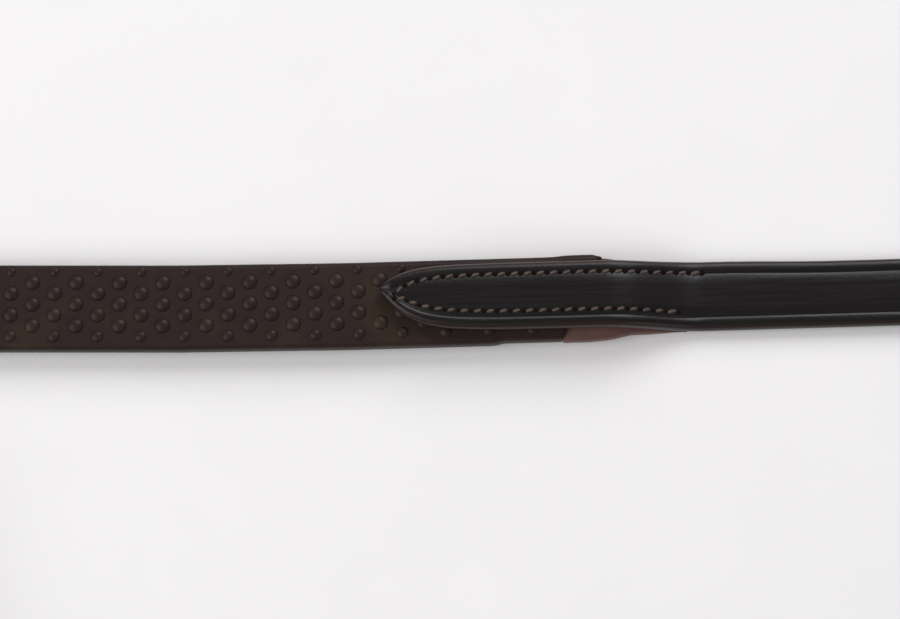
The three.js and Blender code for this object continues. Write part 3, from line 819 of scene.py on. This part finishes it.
def build_left_rear():
    """Left rear strap: its skived end folds round the buckle bar, then the run up to the grip."""
    route = ROUTES["left"]
    turn = BAR_R + 0.3 + 1.0
    back = np.array([60, 56, 50, 42, 34, 26, 20, 16, 12, 9, 6, 3.5, 1.5])
    back_v = back_middle(back)
    a = np.radians(np.linspace(90, -90, 15))
    under = np.array([1.5, 4, 7, 10, 13, 16, 20])
    under_v = 3.0 + (LIFT + STRAP_T / 2 - 3.0) * ramp(under, 1, 16)
    run = lap_rings(route, GRIP_START, -1, 26, GRIP_START + LAP)
    run_v = strap_bottom(GRIP_START - run) + rear_lift(run) + STRAP_T / 2
    s = np.concatenate([back, -turn * np.cos(a), under, run])
    v = np.concatenate([back_v, BAR_Z + turn * np.sin(a), under_v, run_v])
    e = GRIP_START - run
    thick = np.concatenate([
        back_thick(back), np.full(len(a), FOLD_T),
        FOLD_T + (STRAP_T - FOLD_T) * ramp(under, 4, 16), np.full(len(run), STRAP_T),
    ])
    all_e = np.concatenate([np.full(len(s) - len(run), 60.0), e])
    # no crease on the fold; its turned-back end shows the flesh side, which the other tail covers
    depth = np.concatenate([np.zeros(len(s) - len(run)), np.full(len(run), CREASE_DEPTH)])
    made = strap("left_rear", route, s, v, lap_reaches(all_e, 1), thick, lap_insets(all_e), depth)
    carve(made, (BUCKLE_X - 7, -SLOT_HALF, 1), (BUCKLE_X + 5, SLOT_HALF, 12))
    place_piece(made, "reins", "left_rear_strap")
    declare_strap(route, 2, GRIP_START + LAP, CORD_V)


def build_right_rear():
    """Right rear strap: pointed tail over the chape, tongue hole, then the run up to the grip."""
    route = ROUTES["right"]
    tip = np.concatenate([TIP_STEPS, [20, 30, 45, 60]]) - TAIL
    rise = np.concatenate([np.arange(-20, 24, 1.0), [26, 29]])
    run = lap_rings(route, GRIP_START, -1, 32, GRIP_START + LAP)
    s = np.concatenate([tip, rise, run])
    e = GRIP_START - s
    v = np.where(s < 30, tail_bottom(s), strap_bottom(e)) + STRAP_T / 2
    plus, minus = lap_reaches(e, -1)
    tail = lancet(s + TAIL)
    minus_inset, plus_inset = lap_insets(e)
    made = strap("right_rear", route, s, v, (np.minimum(plus, tail), np.minimum(minus, tail)),
                 STRAP_T, (plus_inset, minus_inset), TAIL_CREASE)
    carve(made, (BUCKLE_X + 3, -2, -1), (BUCKLE_X + 14.5, 2, 15))
    place_piece(made, "reins", "right_rear_strap")
    declare_strap(route, -TAIL, GRIP_START + LAP, CORD_V)


def build_front(side):
    """Front strap: pointed end on the grip, run to the skived splice under the billet."""
    route = ROUTES[side]
    end = route.length
    s = lap_rings(route, GRIP_END, 1, GRIP_END - LAP, end - SPLICE_START)
    d, e = end - s, s - GRIP_END
    thick = 0.8 + (STRAP_T - 0.8) * np.clip((d - SPLICE_START) / (SPLICE_END - SPLICE_START), 0, 1)
    v = strap_bottom(e) + front_lift(d) + thick / 2
    made = strap(f"{side}_front", route, s, v, lap_reaches(e, 1), thick, lap_insets(e),
                 CREASE_DEPTH * ramp(thick, 3, 3.6))
    place_piece(made, "reins", f"{side}_front_strap")
    declare_strap(route, GRIP_END - LAP, end - SPLICE_START, CORD_V)


def billet_line():
    """Middle line of a billet as distance from the bit end, height and thickness."""
    low, high = LIFT + STRAP_T / 2, LIFT + STRAP_T + BILLET_GAP + STRAP_T / 2
    r = EYE_R + STRAP_T / 2
    centre, reach = low + r, r + STRAP_T / 2
    splice = np.linspace(SPLICE_END, SPLICE_START, 9)
    share = (SPLICE_END - splice) / (SPLICE_END - SPLICE_START)
    lower = np.array([58, 56, 54, 50, 44, 36, 28, 20, 14, 11])
    lower_v = low + 0.85 * (1 - ramp(-lower, -58, -53))
    a = np.radians(np.linspace(-90, 90, 21))
    drop = np.linspace(0.04, 1, 16)
    top = np.concatenate([[42, 48, 54, 60, 68, 76], BILLET_TIP - TIP_STEPS[::-1]])
    d = np.concatenate([splice, lower, reach - r * np.cos(a), reach + 2 + 26 * drop, top])
    v = np.concatenate([
        6.15 - 1.5 * share, lower_v, centre + r * np.sin(a),
        centre + r - (centre + r - high) * ramp(drop, 0, 1), np.full(len(top), high),
    ])
    thick = np.concatenate([0.3 + 2.5 * share, np.full(len(d) - len(share), STRAP_T)])
    thick[len(share)] = 3.2
    half = np.full(len(d), HALF_WIDTH)
    half[:len(share)] -= 1.7 * (1 - ramp(share, 0, 0.6))
    half[-len(top):] = lancet(BILLET_TIP - top)
    return d, v, thick, half


def build_billet(side):
    """Billet: skived splice, lower run, loop for the bit ring, and the slotted end on top."""
    route = ROUTES[side]
    d, v, thick, half = billet_line()
    s = route.length - d
    depth = np.where(np.arange(len(d)) < 9, 0, 0.25)
    made = strap(f"{side}_billet_strap", route, s, v, (half, half), thick, depth=depth, flip=-1)
    x, y, _ = route.place(route.length - STUD_AT, 0, 0)
    carve(made, (x - 4.5, y - SLOT_HALF, 6.6), (x + 4.5, y + SLOT_HALF, 12))
    place_piece(made, "reins", f"{side}_billet")


# ---------------------------------------------------------------- keepers, studs and buckle


def build_keeper(name, body, x, y, top):
    """Keeper: a bevelled strip of leather carried round a rounded rectangle in the Y-Z plane."""
    half, thick, width = KEEPER
    low, high = 0.1 + thick / 2, top + 0.3 + thick / 2
    r = 1.5
    reach = half + thick / 2
    a = np.linspace(0, math.pi / 2, 7)
    corner = np.array([[reach - r, high - r, 0], [-(reach - r), high - r, 1],
                       [-(reach - r), low + r, 2], [reach - r, low + r, 3]])
    angle = (a[None] + corner[:, 2:] * math.pi / 2)
    py = (corner[:, :1] + r * np.cos(angle)).ravel()
    pz = (corner[:, 1:2] + r * np.sin(angle)).ravel()
    ny, nz = np.cos(angle).ravel(), np.sin(angle).ravel()
    section = np.array([
        [0.5, -0.38], [0.5, 0.2], [0.46, 0.4], [0.4, 0.5], [0.3, 0.5], [0.27, 0.42], [0.24, 0.5],
        [0, 0.54], [-0.24, 0.5], [-0.27, 0.42], [-0.3, 0.5], [-0.4, 0.5], [-0.46, 0.4],
        [-0.5, 0.2], [-0.5, -0.38], [-0.44, -0.5], [0.44, -0.5],
    ])
    along, out = section[:, 0] * width, section[:, 1] * thick
    verts = np.stack([
        np.broadcast_to(x + along, (len(py), len(along))),
        y + py[:, None] + ny[:, None] * out,
        pz[:, None] + nz[:, None] * out,
    ], -1).reshape(-1, 3)
    faces = outward(verts, grid_faces(len(py), len(along), wrap_rows=True))
    # share of the edge colour round the keeper's bevels: burnished tone made lighter as a painted
    # highlight
    rim = np.array([0.8, 1, 0.7, 0.2, 0, 0, 0, 0, 0, 0, 0, 0.2, 0.7, 1, 0.8, 0.4, 0.4])
    edge = np.broadcast_to(rim, (len(py), len(rim)))
    arc = np.concatenate([[0], np.cumsum(np.hypot(np.diff(py), np.diff(pz)))])
    uv = np.stack(np.broadcast_arrays(arc[:, None], along[None]), -1).reshape(-1, 2)
    made = mesh_object(f"{name}_loop", verts, faces.tolist(), MATERIALS["leather"], uv, edge)
    place_piece(made, body, name)


def stadium_rings(r0, r1, offset, profile, sides=32):
    """Rings of a stadium outline shrunk by profile[:, 0] and raised to profile[:, 1]."""
    a = circle(sides)
    right = np.cos(a) > 0
    inset = profile[:, 0][:, None]
    r = np.where(right, r1, r0) - inset
    x = np.where(right, offset, 0) + r * np.cos(a)
    y = (r0 + (r1 - r0) * np.clip(np.cos(a) * 3 + 0.5, 0, 1) - inset) * np.sin(a)
    z = np.broadcast_to(profile[:, 1][:, None], x.shape)
    return np.stack([x, y, z], -1).reshape(-1, 3), sides


def build_stud(side):
    """Hook stud: a riveted shank with a foot, and a domed hook-shaped head over the slot."""
    route = ROUTES[side]
    x, y, _ = route.place(route.length - STUD_AT, 0, 0)
    foot = LIFT + STRAP_T + 0.3
    top = LIFT + 2 * STRAP_T + BILLET_GAP + 0.3
    profile = np.array([[2.85, LIFT + 0.25], [1.4, LIFT + 0.25], [1.4, foot], [-1.5, foot],
                        [-1.6, foot + 0.5], [-1.5, foot + 1], [1.1, foot + 1], [1.1, top - 0.1]])
    head = np.array([[0.5, -0.1], [0.1, 0], [0, 0.35], [0.1, 0.8], [0.45, 1.25], [1.1, 1.6],
                     [1.9, 1.75], [2.1, 1.76]]) + [0, top]
    shank, sides = stadium_rings(2.9, 2.9, 0, profile)
    cap, _ = stadium_rings(2.9, 2.2, 5, head)
    verts = np.vstack([shank, cap]) * [SIGN[side], 1, 1] + [x, y, 0]
    rows = len(profile) + len(head)
    faces = capped(outward(verts, grid_faces(rows, sides)), sides, rows)
    made = mesh_object(f"{side}_stud", verts, faces, MATERIALS["steel"])
    place_piece(made, "reins", f"{side}_hook_stud")
    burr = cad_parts[f"{side}_stud_burr"]
    burr.data.materials.clear()
    burr.data.materials.append(MATERIALS["steel"])


def round_sweep(path, normal_y, radius_y, radius_z):
    """An oval section carried round a closed flat path in the X-Y plane at the bar's height."""
    way = np.roll(path, -1, 0) - np.roll(path, 1, 0)
    way /= np.linalg.norm(way, axis=1)[:, None]
    side = np.column_stack([way[:, 1], -way[:, 0]])
    a = circle(ROUND)
    out = radius_y[:, None] * np.cos(a)
    z = normal_y + radius_z[:, None] * np.sin(a)
    return np.stack([path[:, :1] + side[:, :1] * out, path[:, 1:] + side[:, 1:] * out, z], -1)


def build_buckle_frame():
    """Buckle frame: round wire of 3 mm with round corners; the bar under the strap is thinner."""
    corner = 2.4
    near, far, half = 0.0, FRAME_LENGTH, FRAME_HALF
    a = np.linspace(0, math.pi / 2, 9)
    centres = [(far - corner, half - corner, 0), (near + corner, half - corner, 1),
               (near + corner, corner - half, 2), (far - corner, corner - half, 3)]
    arcs = [[cx, cy] + corner * np.column_stack([np.cos(a + q * math.pi / 2), np.sin(a + q * math.pi / 2)])
            for cx, cy, q in centres]
    between = [np.linspace(arcs[i][-1], arcs[(i + 1) % 4][0], 8)[1:-1] for i in range(4)]
    path = np.vstack([part for pair in zip(arcs, between) for part in pair])
    bar = (1 - ramp(path[:, 0], 0.2, 2.0))
    radius = WIRE_R - (WIRE_R - BAR_R) * bar
    rings = round_sweep(path + [BUCKLE_X, 0], BAR_Z, radius, radius)
    verts = rings.reshape(-1, 3)
    faces = outward(verts, grid_faces(len(path), ROUND, wrap_rows=True))
    made = mesh_object("buckle_wire", verts, faces.tolist(), MATERIALS["steel"])
    place_piece(made, "buckle", "buckle_frame")


def build_tongue():
    """Tongue: a flat bar rolled round the buckle bar, then tapered out to rest on the far wire."""
    r = BAR_R + 0.3 + 0.6
    a = np.radians(np.linspace(-60, 240, 26))
    eye = np.column_stack([r * np.cos(a[::-1] + math.pi), r * np.sin(a[::-1] + math.pi)])
    rest = WIRE_R + 0.35
    pin_x = np.array([3.6, 6, 9, 12, 16, FRAME_LENGTH - 2.5, FRAME_LENGTH, FRAME_LENGTH + 1.9])
    pin_z = np.array([0.8, 1.3, 1.8, 2.1, 2.4, rest + 0.75, rest + 0.7, rest + 0.5])
    line = np.vstack([eye, np.column_stack([pin_x, pin_z])])
    thick = np.concatenate([np.full(len(eye), 1.2), [1.5, 1.7, 1.8, 1.8, 1.7, 1.5, 1.3, 0.8]])
    wide = np.concatenate([np.full(len(eye), 1.3), [1.3, 1.3, 1.25, 1.2, 1.15, 1.1, 0.95, 0.5]])
    ns, nv = along_line(line[:, 0], line[:, 1])
    b = circle(ROUND)
    ou = np.sign(np.cos(b)) * np.abs(np.cos(b)) ** 0.6
    ow = np.sign(np.sin(b)) * np.abs(np.sin(b)) ** 0.6
    w = thick[:, None] / 2 * ow
    verts = np.stack([
        BUCKLE_X + line[:, :1] + ns[:, None] * w,
        wide[:, None] * ou,
        BAR_Z + line[:, 1:] + nv[:, None] * w,
    ], -1).reshape(-1, 3)
    faces = capped(outward(verts, grid_faces(len(line), ROUND)), ROUND, len(line))
    made = mesh_object("buckle_pin", verts, faces, MATERIALS["steel"])
    place_piece(made, "tongue", "buckle_tongue")


# ---------------------------------------------------------------- stitching


def stitch_shape(length, width, rise):
    """One stitch: a thread that arches out of its hole and down into the next one."""
    t = np.linspace(-1, 1, 9)[:, None]
    a = circle(8)[None]
    body = np.sqrt(np.clip(1 - t**2 * 0.9, 0, 1))
    x = t * length / 2 + 0 * a
    y = body * np.cos(a) * width / 2
    z = rise * (1 - t**2) - 0.3 * t**4 + body * np.sin(a) * width * 0.36
    return np.stack([x, y, z], -1).reshape(-1, 3), template_faces(9, 8)


def hole_shape(length, width):
    """The rim of an awl hole: a shallow lens in the surface, coloured with painted shade for the hole's
    dark inside.
    """
    a = circle(8)
    rings = [np.column_stack([k * length / 2 * np.cos(a), k * width / 2 * np.sin(a), np.full(8, z)])
             for k, z in ((1, -0.12), (0.95, 0.02), (0.4, 0.05))]
    return np.vstack(rings), template_faces(3, 8)


def lap_rows(flat_sign):
    """The two stitch rows of a lap as (side, distance from the middle, k, T, last e).

    Each row closes on the point as y (1 - k e^(-d/T)), at d from the strap's tip."""
    return (-flat_sign, 5.1, 1.6, 4.6, 25.5), (flat_sign, 3.9, 2.2, 6.7, 19.5)


def spaced(s, u, pitch, shift, slant):
    """Centres every pitch along a row, turned with the row and by the slant; the last is larger."""
    length = np.concatenate([[0], np.cumsum(np.hypot(np.diff(s), np.diff(u)))])
    at = np.arange(shift, length[-1], pitch)
    turn = np.interp(at, length, np.unwrap(np.arctan2(np.gradient(u), np.gradient(s))))
    size = np.ones(len(at))
    size[-1] = 1.2
    return np.column_stack([np.interp(at, length, s), np.interp(at, length, u), turn + slant, size])


def sew(name, route, rows, slant, surface, under=False, holes=True):
    """Saddle stitches, and the awl holes between them as lenses of painted shade, along rows of points on
    a surface.
    """
    pitch = bpy.context.scene.reins_strap.stitch_pitch * 1000
    flip = np.array([1, 1, -1 if under else 1])
    made = [("stitches", pitch / 2, stitch_shape(*STITCH), "thread")]
    if holes:
        made.append(("holes", 0.0, hole_shape(*HOLE), "hole"))
    for kind, shift, (shape, quads), finish in made:
        centres = np.vstack([spaced(s, u, pitch, shift, slant) for s, u in rows])
        piece = repeated(f"{name}_{kind}", route, centres, shape * flip, quads, MATERIALS[finish], surface)
        place_piece(piece, "reins")


def sew_lap(name, route, joint, way, flat_sign):
    """Both stitch rows of one lapped strap end, on its face and on the rubber behind it."""
    rows = []
    for sign, y, k, fall, last in lap_rows(flat_sign):
        e = np.linspace(3.4 - LAP, last, 500)
        u = sign * np.maximum(y * (1 - k * np.exp(-(e + LAP) / fall)), 0.1)
        more = swell(e) if sign == -flat_sign else 0
        rows.append((joint + way * e, u - flat_sign * (LAP_SHIFT * (1 - ramp(e, 0, 25)) + more)))
    behind = [(s[(s - joint) * way < -5], u[(s - joint) * way < -5]) for s, u in rows]

    def face(s, u):
        e = (s - joint) * way
        slope = strap_bottom(e + 0.5) - strap_bottom(e - 0.5)
        return strap_bottom(e) + STRAP_T / 2 * (1 + np.hypot(1, slope)) + PROUD

    def back(s, u):
        return bpy.context.scene.reins_grip.rubber_low * 1000 + 0.12 + 0 * s

    slant = STITCH_SLANT * flat_sign * way
    sew(name, route, rows, -slant, face)
    sew(f"{name}_back", route, behind, slant, back, under=True, holes=False)


def lifted_face(s, u):
    """Underside of a strap that lies at LIFT above the surface."""
    return LIFT + 0.1 + 0 * s


def straight_rows(s0, s1, inset=3.0):
    """Two straight rows along the strap's edges, from s0 to s1."""
    s = np.linspace(s0, s1, 60)
    return [(s, np.full(60, sign * (HALF_WIDTH - inset))) for sign in (-1, 1)]


# ---------------------------------------------------------------- properties and operators


def size(name, default, description):
    return bpy.props.FloatProperty(
        name=name, description=description, default=default, min=0.0001, unit="LENGTH")


def colour(name, hex_colour, description):
    return bpy.props.FloatVectorProperty(
        name=name, description=description, subtype="COLOR", size=3, min=0, max=1,
        default=linear(hex_colour))


class ReinsStrapSizes(bpy.types.PropertyGroup):
    """Sizes of the strap's stitching."""

    stitch_pitch: size("Stitch pitch", 0.00309, "Distance between stitches, eight to the inch")


class ReinsGripSizes(bpy.types.PropertyGroup):
    """Sizes of the rubber sleeve and its pimples."""

    grip_width: size("Grip width", 0.0206, "Width of the rubber sleeve")
    rubber_low: size("Inner face", 0.0008, "Height of the inner face between its pimples")
    rubber_high: size("Outer face", 0.0063, "Height of the outer face between its pimples")
    pimple_pitch: size("Pimple pitch", 0.01035, "Distance between pimples along a row")
    row_spacing: size("Row spacing", 0.0026, "Distance between neighbouring rows")
    pimple_radius: size("Pimple radius", 0.00195, "Radius of a pimple at its foot")
    pimple_height: size("Pimple height", 0.00072, "How far a pimple stands out")


class ReinsFinish(bpy.types.PropertyGroup):
    """Colours of leather, rubber, thread, metal and floor."""

    leather: colour("Strap", "#171213", "Lighter tone of the waxed bridle leather")
    leather_deep: colour("Strap, deep", "#110e0f", "Deeper tone of the waxed bridle leather")
    # strap edge: a burnished tone, made lighter as a painted highlight where the bevel catches the light
    edge: colour("Strap edge", "#2a1f1d", "Burnished strap edge")
    core: colour("Core", "#6c4d47", "Lighter tone of the grip's leather core")
    core_deep: colour("Core, deep", "#503632", "Deeper tone of the grip's leather core")
    rubber: colour("Rubber", "#302220", "Lighter tone of the rubber")
    rubber_deep: colour("Rubber, deep", "#261b1a", "Deeper tone of the rubber")
    rubber_bloom: colour("Rubber bloom", "#34291f", "Greener patches on the rubber")
    thread: colour("Thread", "#5d4a44", "Lighter tone of the thread")
    thread_deep: colour("Thread, deep", "#3c2f2c", "Deeper tone of the thread")
    # awl hole colours: two tones of painted shade for the dark inside of a hole
    hole: colour("Awl hole", "#120b0b", "Lighter tone of the wax in an awl hole")
    hole_deep: colour("Awl hole, deep", "#060404", "Deeper tone of the wax in an awl hole")
    steel: colour("Steel", "#d6d6d4", "Polished stainless steel")
    steel_deep: colour("Steel, deep", "#b9babb", "Deeper tone of the steel")
    floor: colour("Floor", "#f4f2f3", "Seamless floor")
    floor_deep: colour("Floor, deep", "#efedee", "Deeper tone of the floor")


class ReinsStep:
    """What the building steps share."""

    def execute(self, context):
        self.build()
        return {"FINISHED"}


class ReinsMakeGrips(ReinsStep, bpy.types.Operator):
    """Builds both rubber grips with their pimples and leather cores"""

    bl_idname = "reins.make_grips"
    bl_label = "Make Grips"

    def build(self):
        for side in SIDES:
            build_grip(side)
            build_core(side)


class ReinsMakeRearStraps(ReinsStep, bpy.types.Operator):
    """Builds the two straps between the buckle and the grips"""

    bl_idname = "reins.make_rear_straps"
    bl_label = "Make Rear Straps"

    def build(self):
        build_left_rear()
        build_right_rear()


class ReinsMakeFrontStraps(ReinsStep, bpy.types.Operator):
    """Builds the two straps between the grips and the bit, with their billets"""

    bl_idname = "reins.make_front_straps"
    bl_label = "Make Front Straps"

    def build(self):
        for side in SIDES:
            build_front(side)
            build_billet(side)


class ReinsMakeKeepers(ReinsStep, bpy.types.Operator):
    """Builds the six keepers"""

    bl_idname = "reins.make_keepers"
    bl_label = "Make Keepers"

    def build(self):
        top = LIFT + 2 * STRAP_T + BILLET_GAP
        for side in SIDES:
            route = ROUTES[side]
            for kind, body, d in (("fixed", "reins", FIXED_AT), ("running", f"{side}_slider", RUNNING_AT)):
                x, y, _ = route.place(route.length - d, 0, 0)
                build_keeper(f"{side}_{kind}_keeper", body, x, y, top)
        stack = TAIL_Z + STRAP_T
        build_keeper("buckle_fixed_keeper", "reins", BUCKLE_X - BUCKLE_KEEPERS[0], 0, stack)
        build_keeper("buckle_running_keeper", "buckle_slider", BUCKLE_X - BUCKLE_KEEPERS[1], 0, stack)


class ReinsMakeMetal(ReinsStep, bpy.types.Operator):
    """Builds the hook studs and the centre buckle"""

    bl_idname = "reins.make_metal"
    bl_label = "Make Studs and Buckle"

    def build(self):
        for side in SIDES:
            build_stud(side)
        build_buckle_frame()
        build_tongue()


class ReinsMakeStitching(ReinsStep, bpy.types.Operator):
    """Builds the saddle stitching of the four lapped strap ends"""

    bl_idname = "reins.make_stitching"
    bl_label = "Make Stitching"

    def build(self):
        for side in SIDES:
            route, sign = ROUTES[side], SIGN[side]
            sew_lap(f"{side}_rear_lap", route, GRIP_START, -1, sign)
            sew_lap(f"{side}_front_lap", route, GRIP_END, 1, 1)
            splice = straight_rows(route.length - SPLICE_END + 2, route.length - SPLICE_START - 2)
            sew(f"{side}_splice", route, splice, STITCH_SLANT, lifted_face, under=True)
        left, chape = ROUTES["left"], straight_rows(12, 56)
        sew("chape_top", left, chape, STITCH_SLANT, lambda s, u: chape_top(s) + PROUD)
        sew("chape_back", left, chape, STITCH_SLANT, lifted_face, under=True)


def area_light(name, place, target, size, power):
    """A soft square light aimed at a point, in metres and watts."""
    data = bpy.data.lights.new(name, "AREA")
    data.size = size
    data.energy = power
    lamp = bpy.data.objects.new(name, data)
    lamp.location = place
    way = np.array(target, float) - np.array(place, float)
    lamp.rotation_mode = "QUATERNION"
    lamp.rotation_quaternion = Vector(way).to_track_quat("-Z", "Y")
    bpy.context.scene.collection.objects.link(lamp)


class ReinsMakeStage(ReinsStep, bpy.types.Operator):
    """Builds the pale floor, the soft lights and the camera"""

    bl_idname = "reins.make_stage"
    bl_label = "Make Stage"

    def build(self):
        scene = bpy.context.scene
        cx, cy = SHIFT[:2] / 1000
        x = np.linspace(-3, 3, 13)
        gx, gy = np.meshgrid(x, x, indexing="ij")
        verts = np.stack([gx, gy, np.full_like(gx, -0.0002)], -1).reshape(-1, 3) * 1000
        faces = grid_faces(len(x), len(x), wrap_cols=False)[:, ::-1]
        floor = mesh_object("floor", verts, faces, MATERIALS["paper"])
        world = bpy.data.worlds.new("studio")
        world.use_nodes = True
        sky = world.node_tree.nodes["Background"].inputs
        sky["Color"].default_value = (1, 1, 1, 1)
        sky["Strength"].default_value = 0.23
        scene.world = world
        area_light("key", (cx + 0.5, cy + 1.05, 0.95), (cx, cy, 0), 1.0, 15.3)
        area_light("fill", (cx - 1.0, cy - 0.35, 1.0), (cx, cy, 0), 1.3, 15.0)
        area_light("rim", (cx + 0.9, cy - 0.95, 0.75), (cx, cy, 0), 0.4, 1.0)
        scene.view_settings.view_transform = "Standard"

        distance, elevation, roll = 0.95, math.radians(80), math.radians(-1.65)
        seen_width = 0.2148
        data = bpy.data.cameras.new("camera")
        data.sensor_width = 36
        data.lens = data.sensor_width * distance / seen_width
        camera = bpy.data.objects.new("camera", data)
        target = np.array([cx, cy - 0.0013, 0.003])
        back = np.array([0, -math.cos(elevation), math.sin(elevation)])
        camera.location = target + distance * back
        camera.rotation_mode = "QUATERNION"
        turn = Quaternion((0, 0, 1), roll)
        look = Vector(-back).to_track_quat("-Z", "Y")
        camera.rotation_quaternion = look @ turn
        scene.collection.objects.link(camera)
        scene.camera = camera


class REINS_PT_panel(bpy.types.Panel):
    """Lists the pieces that can be built"""

    bl_label = "Leather Reins"
    bl_idname = "REINS_PT_panel"
    bl_space_type = "VIEW_3D"
    bl_region_type = "UI"
    bl_category = "Reins"

    def draw(self, context):
        for operator in OPERATORS:
            self.layout.operator(operator.bl_idname)


OPERATORS = (
    ReinsMakeStage,
    ReinsMakeGrips,
    ReinsMakeRearStraps,
    ReinsMakeFrontStraps,
    ReinsMakeKeepers,
    ReinsMakeMetal,
    ReinsMakeStitching,
)
GROUPS = {"reins_strap": ReinsStrapSizes, "reins_grip": ReinsGripSizes, "reins_finish": ReinsFinish}


def register():
    for cls in (*GROUPS.values(), *OPERATORS, REINS_PT_panel):
        bpy.utils.register_class(cls)
    for name, group in GROUPS.items():
        setattr(bpy.types.Scene, name, bpy.props.PointerProperty(type=group))


def unregister():
    for name in GROUPS:
        delattr(bpy.types.Scene, name)
    for cls in reversed((*GROUPS.values(), *OPERATORS, REINS_PT_panel)):
        bpy.utils.unregister_class(cls)


def main():
    """Builds the scene step by step."""
    register()
    make_materials()
    for operator in OPERATORS:
        getattr(bpy.ops.reins, operator.bl_idname.split(".")[1])()


if __name__ == "__main__":
    main()
